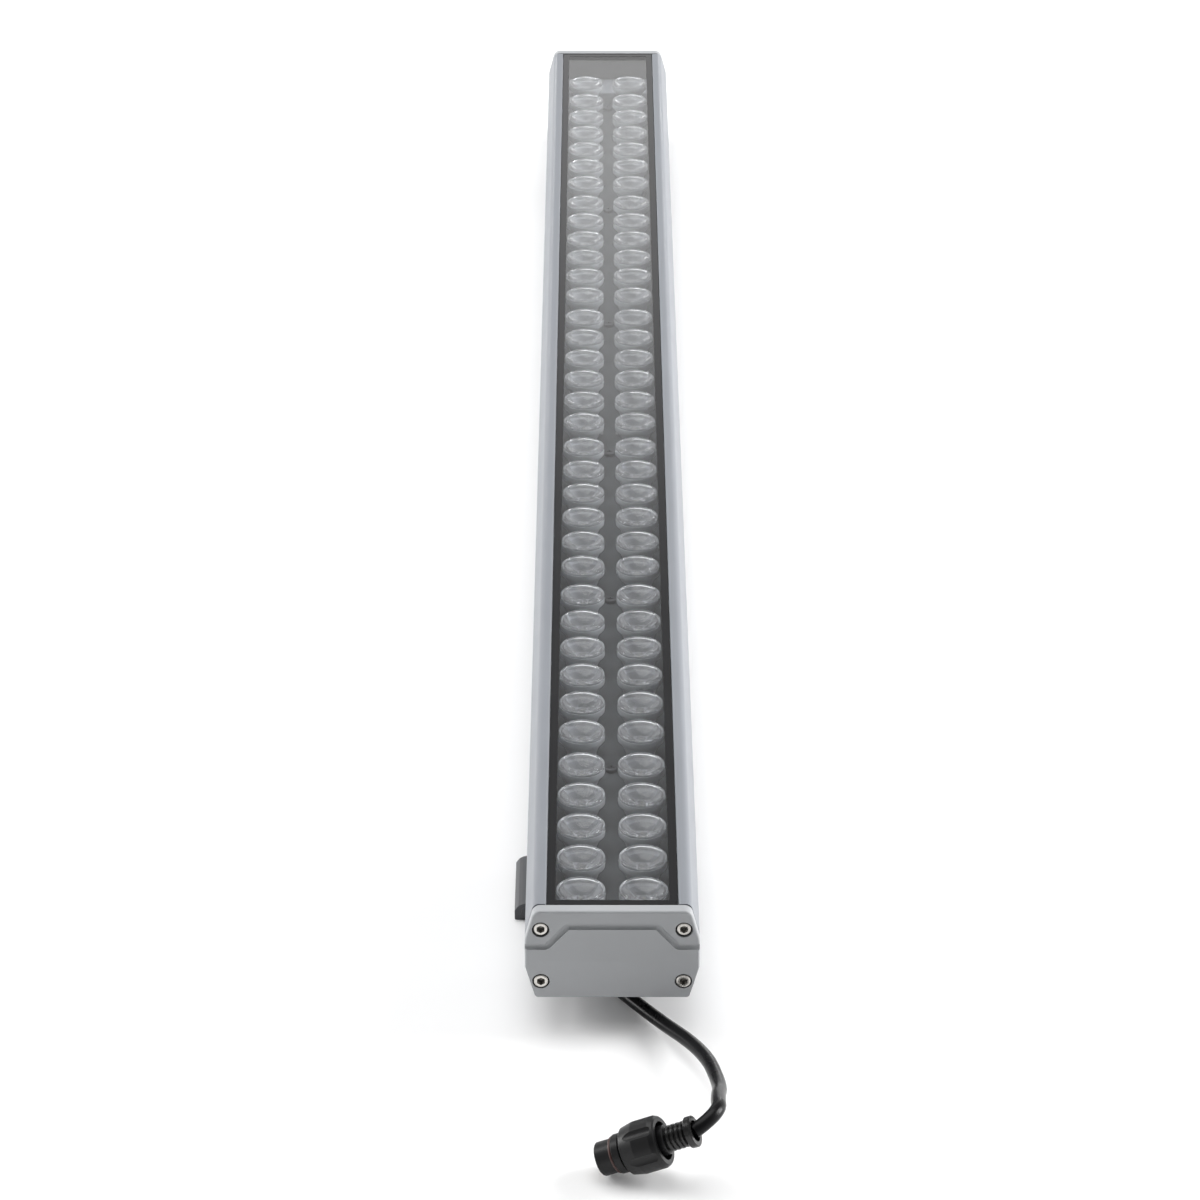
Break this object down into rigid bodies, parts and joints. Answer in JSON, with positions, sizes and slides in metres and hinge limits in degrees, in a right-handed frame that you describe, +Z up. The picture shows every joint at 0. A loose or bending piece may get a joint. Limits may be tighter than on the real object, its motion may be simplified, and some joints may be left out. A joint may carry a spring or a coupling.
{
  "type": "led strip batten",
  "caption": "Long weatherproof lamp batten: aluminium housing with lens rows behind glass, screwed end caps, hinged sliding brackets and a plug lead.",
  "frame": {"origin": "bottom centre of the batten, on the surface that its brackets stand on, centred between the two end caps", "axes": "+X across the batten, away from the bracket hinges; +Y along it, away from the cable end; +Z up, out of the light face"},
  "size_m": [0.0874, 1.1179, 0.056],
  "materials": {
    "painted_housing": "fine satin powder coat, light grey",
    "painted_cap": "satin paint on cast metal, light grey",
    "black_rubber": "matt black",
    "stainless_screw": "turned stainless steel",
    "cover_glass": "clear toughened glass",
    "black_border": "black enamel fired on the glass",
    "lamp_board": "grey solder mask on an aluminium board",
    "led_package": "ceramic with a silicone dome",
    "lens_acrylic": "clear moulded acrylic",
    "lens_holder": "translucent whitish plastic",
    "solder": "bright solder and tinned copper",
    "driver_plastic": "black moulded plastic",
    "driver_board": "green board laminate",
    "component": "dark coated components",
    "standoff": "natural nylon",
    "gland_plastic": "black nylon",
    "lead_jacket": "thin wire insulation",
    "bracket_metal": "dark grey anodised extrusion",
    "cable_jacket": "black rubber jacket with soft highlights",
    "connector_plastic": "black moulded nylon",
    "boot_rubber": "glossy black soft plastic",
    "o_ring": "brown red silicone",
    "contact": "plated brass"
  },
  "bodies": {
    "batten": {"housing_extrusion": "painted_housing", "end_cap_near": "painted_cap", "end_cap_far": "painted_cap", "end_gasket_near": "black_rubber", "end_gasket_far": "black_rubber", "cap_screws_near": "stainless_screw", "cap_screws_far": "stainless_screw", "glass_cover": "cover_glass", "glass_print": "black_border", "glass_seal": "black_rubber", "led_board_near": "lamp_board", "led_board_far": "lamp_board", "led_packages_near": "led_package", "led_packages_far": "led_package", "lenses_near": "lens_acrylic", "lenses_far": "lens_acrylic", "lens_holders_near": "lens_holder", "lens_holders_far": "lens_holder", "board_screws_near": "stainless_screw", "board_screws_far": "stainless_screw", "board_links": "solder", "driver_case": "driver_plastic", "driver_lid": "driver_plastic", "driver_board": "driver_board", "driver_standoffs": "standoff", "driver_components": "component", "gland_body": "gland_plastic", "gland_nut": "gland_plastic", "gland_seal": "black_rubber", "mains_leads": "lead_jacket", "output_leads": "lead_jacket", "solder_joints": "solder", "web_grommet": "black_rubber", "lead_saddles": "standoff", "power_cable": "cable_jacket", "connector_boot": "boot_rubber", "connector_body": "connector_plastic", "o_ring": "o_ring", "contact_insert": "connector_plastic", "contact_pins": "contact"},
    "coupling": {"coupling_nut": "connector_plastic"},
    "clamp_near": {"t_nuts_near": "stainless_screw", "clamp_screws_near": "stainless_screw", "clamp_washers_near": "stainless_screw"},
    "arm_near": {"bracket_arm_near": "bracket_metal"},
    "base_near": {"bracket_base_near": "bracket_metal"},
    "clamp_far": {"t_nuts_far": "stainless_screw", "clamp_screws_far": "stainless_screw", "clamp_washers_far": "stainless_screw"},
    "arm_far": {"bracket_arm_far": "bracket_metal"},
    "base_far": {"bracket_base_far": "bracket_metal"}
  },
  "joints": [
    {"name": "coupling_spin", "type": "hinge", "parent": "batten", "child": "coupling", "pos_m": [0.0321, -0.6097, 0.024], "axis": [-0.8912, 0.1468, -0.4291], "continuous": true},
    {"name": "rail_slide_near", "type": "slide", "parent": "batten", "child": "clamp_near", "axis": [0, 1, 0], "range_m": [0, 0.3]},
    {"name": "cross_slide_near", "type": "slide", "parent": "clamp_near", "child": "arm_near", "axis": [1, 0, 0], "range_m": [0, 0.014]},
    {"name": "tilt_near", "type": "hinge", "parent": "arm_near", "child": "base_near", "pos_m": [-0.0363, -0.3966, 0.0042], "axis": [0, 1, 0], "range_deg": [0, 65]},
    {"name": "rail_slide_far", "type": "slide", "parent": "batten", "child": "clamp_far", "axis": [0, 1, 0], "range_m": [-0.3, 0.05]},
    {"name": "cross_slide_far", "type": "slide", "parent": "clamp_far", "child": "arm_far", "axis": [1, 0, 0], "range_m": [-0.009, 0.005]},
    {"name": "tilt_far", "type": "hinge", "parent": "arm_far", "child": "base_far", "pos_m": [-0.0273, 0.3966, 0.0042], "axis": [0, 1, 0], "range_deg": [0, 65]}
  ]
}
